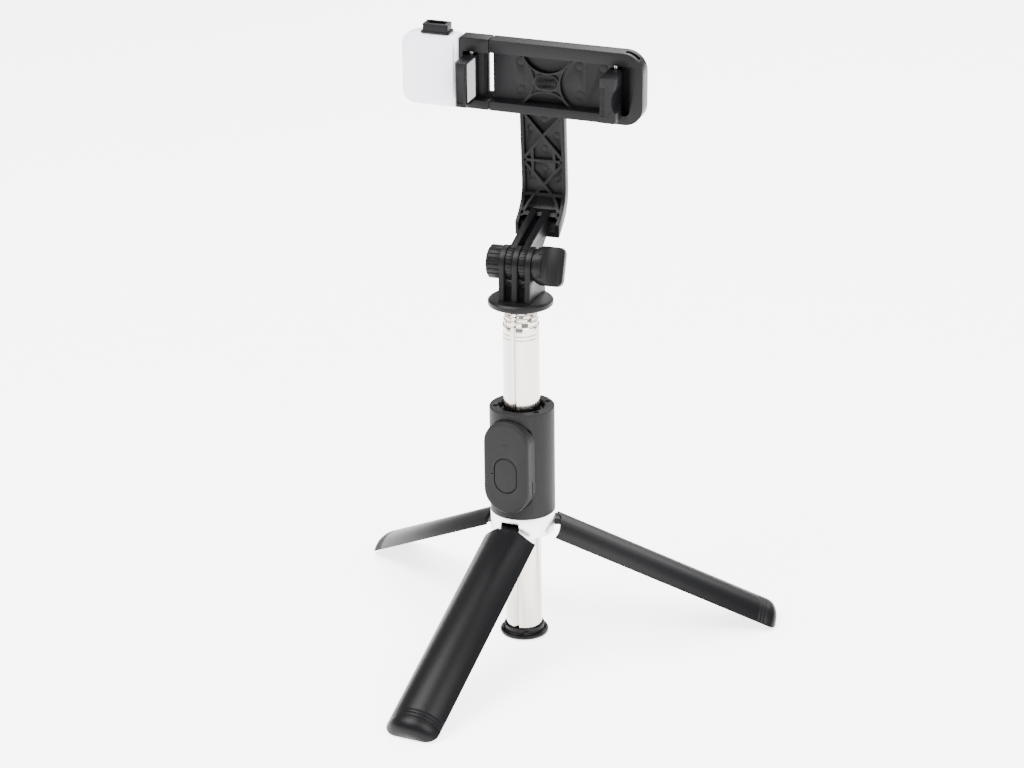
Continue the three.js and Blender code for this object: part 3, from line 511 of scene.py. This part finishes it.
knob = rod("knob_boss", "x", 7.2, 7.47, 10, 64)
join(knob, rod("knob_disc", "x", 8, 8.7, 11.7, 64))
wing = prism("knob_wing", rounded(10.4, 20.3, -8.6, 8.6, 3, 0.5, 0.5, 3), "z", -7, 7)
for side in (-1, 1):
    cut(wing, shift(rod("thumb_scoop", "y", 9, -12, 12, 96), move(20.5, 0, side * 10.7)))
combine(wing, rod("wing_limit", "x", 8.9, 7, 22, 96), "INTERSECT")
join(knob, shift(wing, turn(70, "X")))
cut(knob, rod("knob_bore", "x", HINGE_HOLE, 6, 13.7))
round_edges(knob, 0.4, 4)
done(knob, HEAD, "knob", "thumb_knob", "dark_plastic")
bolt = rod("bolt_shank", "x", 2, -11.8, 13.3)
round_edges(bolt, 0.2, 2)
done(bolt, HEAD, "knob", "hinge_bolt", "pin_steel")

# %% [markdown]
# ## Arm
# The arm springs from two eyes, curves back and rises behind the clamp. Its front is an open
# channel stiffened by two crosses and three bars.
# %%
def ejector_mark(inner, outer, depth, x, y, z):
    ring = lathe("mark", [(inner, -depth), (outer, -depth), (outer, depth), (inner, depth)], 32)
    return shift(ring, move(x, y, z) @ turn(90, "X"))


def arm_outline():
    front = [(ARM_FRONT, ARM_TOP), (ARM_FRONT, 26), (33.2, 22), (31.4, 17.4), (28.4, 14.1), (23, 10)]
    back = [(23, 4.2), (29.6, 8.6), (33.4, 12.2), (35.8, 16.2), (37, 20.4), (ARM_BACK, 25)]
    return front + back + [(ARM_BACK, ARM_TOP)]


def bar(x0, z0, x1, z1):
    side = Vector((z0 - z1, x1 - x0)).normalized() * 0.6
    return prism("rib", [(x0 + side.x, z0 + side.y), (x0 - side.x, z0 - side.y),
                         (x1 - side.x, z1 - side.y), (x1 + side.x, z1 + side.y)], "y", 25, ARM_BACK)


def make_arm():
    arm = prism("curved_arm", arm_outline(), "x", -ARM_HALF, ARM_HALF)
    hollow = [(31, 57.5), (31, 25), (29, 18), (21.5, 11.6), (21.5, 6), (23.6, 6.8), (30.4, 11.6),
              (33.6, 15.4), (35.3, 20), (35.9, 25), (35.9, 57.5)]
    cut(arm, prism("channel", hollow, "x", -8.6, 8.6))
    ribs = bar(-9, 35.4, 9, 35.4)
    join(ribs, bar(-9, 20, 9, 20), bar(-9, 13, 9, 13))
    for top_x, top_z, low_x, low_z in ((8.8, 57, 8.8, 36.5), (8.6, 34, 3.5, 20.5)):
        join(ribs, bar(-top_x, top_z, low_x, low_z), bar(top_x, top_z, -low_x, low_z))
    for side in (-1, 1):
        join(ribs, bar(side * 5, 30.2, side * 5, 40.8), bar(side * 8.6, 13, side * 4.4, 19.8))
        join(ribs, shift(rod("knot", "y", 1.25, 25, ARM_BACK, 32), move(side * 8.5, 0, 35.4)))
        join(ribs, shift(rod("knot", "y", 1.25, 25, ARM_BACK, 32), move(side * 8.3, 0, 13.2)))
    limit = prism("rib_limit", [(y + 0.3, z) for y, z in arm_outline()], "x", -9, 9)
    combine(limit, prism("rib_back", arm_outline(), "x", -9, 9), "INTERSECT")
    combine(ribs, limit, "INTERSECT")
    join(arm, ribs)
    for x, z in ((-6, 50), (5.8, 47), (0.2, 40.6), (0.2, 54), (-6, 28), (6, 27), (0.3, 31.4)):
        cut(arm, ejector_mark(1.5, 1.7, 0.12, x, 35.9, z))
    for side in (-1, 1):
        for z in (35.4, 13.2):
            cut(arm, shift(rod("dimple", "y", 0.6, 25, 34.6, 24), move(side * 8.4, 0, z)))
    neck = prism("neck", [(7, 5.4), (25.5, 11), (26.5, 8), (25.5, 5.2), (8, 0.6)], "x", -4.4, 4.4)
    cut(neck, rod("finger_room", "x", 12, -1.48, 1.48, 64))
    join(arm, neck)
    for side in (-1, 1):
        x = side * PLATE_PITCH / 2
        blade = [(-1.6, 7.1), (28.5, 14.6), (32, 13.2), (24, 5.6), (3.2, -6.5)]
        eye = rod("arm_eye", "x", EYE_R - 0.5, x - LUG_T / 2, x + LUG_T / 2, 64)
        teeth = prism("eye_teeth", ribbed(7.6, 0.4, 30), "x", x - 1.05, x + 1.05)
        combine(teeth, block("teeth_room", -9, 9, -9, 3.5, -9, 9), "INTERSECT")
        join(arm, join(eye, prism("blade", blade, "x", x - LUG_T / 2, x + LUG_T / 2), teeth))
    cut(arm, rod("arm_bore", "x", HINGE_HOLE, -12, 12))
    cut(arm, shift(rod("swivel_bore", "y", SWIVEL_HOLE, 32, 39), move(0, 0, SWIVEL_Z)))
    round_edges(arm, 0.25, 2, 40)
    done(arm, ARM, "arm", "arm", "black_plastic")


make_arm()
rivet = rod("rivet_head", "y", 4.2, 37.6, 38.9, 64)
round_edges(rivet, 0.5, 4)
join(rivet, rod("rivet_shank", "y", 2.2, 31.6, 38, 48))
done(rivet, ARM @ move(0, 0, SWIVEL_Z), "arm", "swivel_rivet", "pin_steel")

# %% [markdown]
# ## Clamp frame
# A shallow tray with a raised, scalloped web round an oval hole. The top and bottom rims hide
# the rails of the sliding block, and the tray is open at its left end.
# %%
def corners(x0, x1):
    return rounded(x0, x1, -HALF_H, HALF_H, 9, 0.5, 0.5, 8, 12)


def rails(extra, start, end):
    for low, high in ((11.5, 14.3), (-14.7, -13)):
        yield block("rail", start, end, 27.4 - extra, 30 + extra, low - extra, high + extra)


def pocket_web():
    x, z = 4.4, -1.9
    web = block("web", x - 17, x + 17, POCKET_Y - 2.6, POCKET_Y + 0.3, RIM_LOW - 0.3, RIM_HIGH + 0.3)
    dip = block("web_dip", x - 16, x + 16, POCKET_Y - 4, POCKET_Y - 1.7, RIM_LOW - 1, RIM_HIGH + 1)
    for radius, dx, dz in ((11.2, 0, 15.6), (11.2, 0, -15.6), (12, 18.4, 0), (12, -18.4, 0)):
        cut(web, shift(rod("scallop", "y", radius, 27, POCKET_Y, 96), move(x + dx, 0, z + dz)))
        cut(dip, shift(rod("scallop", "y", radius + 0.8, 25, 31, 96), move(x + dx, 0, z + dz)))
    island = rounded(x - 5.8, x + 5.8, z - 3.6, z + 3.6, 3.5, 3.5, 3.5, 3.5)
    cut(web, cut(dip, prism("island", island, "y", 25, 31)))
    hole = rounded(x - 5, x + 5, z - 2.8, z + 2.8, 2.79, 2.79, 2.79, 2.79)
    return cut(web, prism("oval", hole, "y", 27, POCKET_Y))


def make_frame():
    tray = prism("clamp_tray", corners(SPLIT_X, CLAMP_RIGHT), "y", FACE_Y, 31.85)
    mouth = rounded(SPLIT_X - 1, 43, RIM_LOW, RIM_HIGH, 2.5, 0.01, 0.01, 2.5)
    cut(tray, prism("tray_mouth", mouth, "y", FACE_Y - 1, POCKET_Y))
    join(tray, pocket_web())
    for x, z in ((-8.2, 6.1), (-7.8, -6.6), (18.6, 6.4), (29.5, 6.7), (19.1, -6.6)):
        cut(tray, ejector_mark(1.8, 2.1, 0.16, x, POCKET_Y, z))
    cut(tray, *rails(GAP, SPLIT_X - 1, 9.3))
    cut(tray, shift(rod("pin_hole", "z", PIN_HOLE, -14, 12.2, 24), move(RIGHT_PIN, PIN_Y, 0)))
    corner_slot = rounded(40.2, 46.4, 11.4, 16.4, 0.4, 0.4, 0.4, 0.4)
    cut(tray, prism("corner_slot", corner_slot, "y", 27.2, 29.8))
    cut(tray, rod("rivet_hole", "y", SWIVEL_HOLE, 31.3, 34))
    round_edges(tray, 0.32, 3, 40)
    done(tray, CLAMP, "clamp", "clamp_frame", "black_plastic")


make_frame()
cover = prism("tray_cover", corners(SPLIT_X, CLAMP_RIGHT), "y", 31.9, BACK_Y)
join(cover, rod("cover_boss", "y", 8, 32.4, 33.3, 96))
cut(cover, rod("cover_hole", "y", SWIVEL_HOLE, 31, 35))
round_edges(cover, 0.2, 2, 40)
done(cover, CLAMP, "clamp", "clamp_back_cover", "black_plastic")

# %% [markdown]
# ## Sliding block and jaws
# The block slides out to the left on its rails and carries the left jaw and the light. Each jaw
# stands out from the face and folds flat on its pin; the left one has a ribbed grey pad.
# %%
def make_block():
    right = SPLIT_X - 0.35
    outline = rounded(BLOCK_LEFT, right, -HALF_H, HALF_H, 0.4, 0.8, 0.8, 0.4)
    body = prism("slider_body", outline, "y", FACE_Y, BACK_Y)
    cut(body, block("seat", -32.7, right + 1, FACE_Y - 1, POCKET_Y + 0.3, RIM_LOW, RIM_HIGH - 0.4))
    window = block("window", -22.8, right + 1, POCKET_Y - 1, BACK_Y + 1, RIM_LOW + 2.6, RIM_HIGH - 0.6)
    cut(body, window)
    cut(body, *rails(GAP, -27.7, right + 1))
    cut(body, shift(rod("pin_hole", "z", PIN_HOLE, -14, 12.2, 24), move(LEFT_PIN, PIN_Y, 0)))
    for x in (-24.9, -24.0):
        groove = block("groove", x - 0.12, x + 0.12, POCKET_Y, POCKET_Y + 0.5, RIM_LOW + 1, RIM_HIGH - 1.4)
        cut(body, groove)
    round_edges(body, 0.22, 2, 40)
    done(body, CLAMP, "slider", "slide_block", "black_plastic")


def make_jaw(name, x0, x1, pin, side, scooped):
    inner, outer = (x1, x0) if side > 0 else (x0, x1)
    root = abs(inner - pin)
    heel = pin - side * root
    front = FACE_Y - JAW_OUT
    outline = [(inner, front), (inner, PIN_Y), (heel, PIN_Y), (heel, FACE_Y - 1.4)]
    outline = outline + [(outer, FACE_Y - 3.4), (outer, front + 0.8), (outer + side * 0.8, front)]
    jaw = prism(name + "_jaw_body", outline, "z", JAW_LOW, JAW_HIGH)
    join(jaw, prism("knuckle", circle(root, pin, PIN_Y, 48), "z", JAW_LOW, JAW_HIGH))
    cut(jaw, prism("pin_hole", circle(PIN_HOLE, pin, PIN_Y, 24), "z", JAW_LOW - 1, JAW_HIGH + 1))
    seat = sorted((inner + side * 0.5, inner - side * 0.9))
    cut(jaw, block("pad_seat", *seat, front + 2, FACE_Y, JAW_LOW + 1.4, JAW_HIGH - 0.6))
    if scooped:
        scoop = rod("finger_scoop", "y", 9, front - 1, FACE_Y + 3, 96)
        cut(jaw, shift(scoop, move(outer - side * 7.1, 0, -1.8)))
        cut(jaw, block("strip", x0 - 1, x0 + 2.2, front - 1, front + 0.4, JAW_LOW + 3, JAW_HIGH - 4))
        for index in range(12):
            z = JAW_LOW + 3.6 + index
            join(jaw, block("tooth", x0 + 0.3, x0 + 1.9, front + 0.15, front + 0.6, z, z + 0.5))
    else:
        low, high = JAW_LOW + 1.6, JAW_HIGH - 5
        cut(jaw, block("front_panel", x0 + 1.1, x1 - 1.3, front - 1, front + 0.4, low, high))
    round_edges(jaw, 0.3, 3, 40)
    done(jaw, CLAMP, name + "_jaw", name + "_jaw", "black_plastic")


def make_pad(name, inner, side):
    low, high = sorted((inner - side * 0.6, inner + side * 0.1))
    pad = block(name + "_pad_body", low, high, 15.5, 24.9, JAW_LOW + 1.7, JAW_HIGH - 0.9)
    face = inner + side * 0.1
    for index in range(11):
        y = 16.2 + index * 0.8
        cut(pad, prism("pad_groove", circle(0.22, face, y, 12), "z", JAW_LOW, JAW_HIGH))
    done(pad, CLAMP, name + "_jaw", name + "_jaw_pad", "rubber_pad")


make_block()
make_jaw("left", -32.2, -27, LEFT_PIN, 1, False)
make_jaw("right", 33.4, 40.4, RIGHT_PIN, -1, True)
make_pad("left", -27, 1)
make_pad("right", 33.4, -1)

# %% [markdown]
# ## Light
# A white two-step lens over a board of lamps, closed by a white back. A collar round the
# charging socket stands on its top edge.
# %%
def light_outline(inset, extra):
    small, large = 1.8 + extra, 6 - inset / 2
    left, right, half = LIGHT_LEFT + inset, LIGHT_RIGHT - inset, LIGHT_HALF - inset
    return rounded(left, right, -half, half, small, large, large, small)


lens = prism("light_lens", light_outline(0, 0), "y", 24.2, 29)
round_face(lens, (0, -1, 0), 1.3, 8)
step = prism("lens_step", light_outline(1.6, 2), "y", 23.2, 26)
round_face(step, (0, -1, 0), 0.9, 6)
join(lens, step)
cut(lens, prism("lens_hollow", light_outline(1.8, 1), "y", 25.6, 30))
done(lens, CLAMP, "slider", "light_diffuser", "diffuser_white")

back = prism("light_back", light_outline(0.3, 0), "y", 29.1, 33)
round_face(back, (0, 1, 0), 0.8, 5)
cut(back, prism("back_hollow", light_outline(1.8, 1), "y", 28, 31.8))
done(back, CLAMP, "slider", "light_case", "diffuser_white")

collar = prism("socket_collar", rounded(-51.2, -39.6, 24.6, 31.4, 1, 1, 1, 1), "z", 16.4, 20.6)
round_face(collar, (0, 0, 1), 0.5, 4)
join(collar, prism("collar_foot", rounded(-51.9, -38.9, 24.2, 31.8, 1, 1, 1, 1), "z", 16.35, 17.2))
cut(collar, prism("socket", rounded(-49.6, -41.2, 26.3, 29.7, 0.6, 0.6, 0.6, 0.6), "z", 17.8, 22))
done(collar, CLAMP, "slider", "light_socket_collar", "black_plastic")

# %% [markdown]
# ## Remote control
# A rounded block that fills the handle's pocket. Its back is hollowed to clear the mast, and one
# oval button sits in its face beside a pinhole lamp.
# %%
def make_remote():
    case = prism("remote_body", stadium(REMOTE_W, REMOTE_H, REMOTE_Z, 24), "y", -REMOTE_FACE, -6)
    round_face(case, (0, -1, 0), 1.5, 8)
    cut(case, prism("button_window", stadium(BUTTON_W + 0.5, BUTTON_H + 0.5, BUTTON_Z), "y", -20, -14))
    cut(case, shift(rod("lamp_hole", "y", 0.4, -20, -14, 24), move(-6.5, 0, 83.1)))
    cut(case, prism("triangle", [(-1.3, 97.3), (0.9, 97.3), (-0.2, 99.1)], "y", -18, -REMOTE_FACE + 0.12))
    cut(case, prism("case_hollow", stadium(19, 40.5, REMOTE_Z), "y", -16.4, -5))
    hollow = rod("handle_room", "z", 14.8, 40, 130, 120)
    combine(hollow, block("behind_case", -20, 20, -12.1, 0, 40, 130), "INTERSECT")
    cut(case, hollow)
    cut(case, block("waist", -9.2, 9.2, -12.05, 0, 40, 130))
    cut(case, block("side_slot", 9.6, 12, -13.2, -12.4, 74, 80))
    done(case, HANDLE, "remote", "remote_case", "grip_plastic")


make_remote()
button = prism("button_cap", stadium(BUTTON_W, BUTTON_H, BUTTON_Z, 24), "y", -17.75, -15.7)
round_face(button, (0, -1, 0), 0.7, 6)
join(button, prism("button_lip", stadium(BUTTON_W + 1.8, BUTTON_H + 1.8, BUTTON_Z), "y", -15.9, -15.6))
done(button, HANDLE, "button", "shutter_button", "grip_plastic")

# %% [markdown]
# ## Floor, light and camera
# A white floor that glows as a lit backdrop does, a large soft lamp above and left, weaker ones
# to the right and behind, and a long lens.
# %%
bpy.ops.mesh.primitive_plane_add(size=12, location=(0, 0, -0.0005))
floor = bpy.context.object
floor.name = "floor"
white = bpy.data.materials.new("floor_white")
white.use_nodes = True
paint = white.node_tree.nodes["Principled BSDF"].inputs
paint["Base Color"].default_value = (0.94, 0.94, 0.94, 1)
paint["Roughness"].default_value = 0.9
paint["Emission Color"].default_value = (1, 1, 1, 1)
paint["Emission Strength"].default_value = 3.5
floor.data.materials.append(white)

world = bpy.data.worlds.new("studio")
bpy.context.scene.world = world
world.use_nodes = True
sky = world.node_tree.nodes["Background"].inputs
sky["Color"].default_value = (1, 1, 1, 1)
sky["Strength"].default_value = 0.55


def lamp(name, place, size, power):
    bpy.ops.object.light_add(type="AREA", location=place)
    light = bpy.context.object
    light.name = name
    light.data.size = size
    light.data.energy = power
    light.rotation_euler = (Vector((0, 0, 0.14)) - Vector(place)).to_track_quat("-Z", "Y").to_euler()


lamp("key", (-0.7, -0.5, 1.7), 1.2, 85)
lamp("fill", (0.9, -0.6, 1.2), 1.0, 40)
lamp("rear", (0.2, 1.4, 1.5), 1.6, 60)

stand = Vector((0.37951, -1.05992, 0.55134))
bpy.ops.object.camera_add(location=stand)
camera = bpy.context.object
sight = Vector((-0.31813, 0.87803, -0.35756))
up = Vector((-0.10926, 0.34068, 0.93381))
right = sight.cross(up).normalized()
camera.matrix_world = Matrix((
    (right.x, up.x, -sight.x, stand.x),
    (right.y, up.y, -sight.y, stand.y),
    (right.z, up.z, -sight.z, stand.z),
    (0, 0, 0, 1),
))
camera.data.lens = 96.07
camera.data.sensor_width = 36
bpy.context.scene.camera = camera
print("camera at", tuple(round(v, 4) for v in stand))
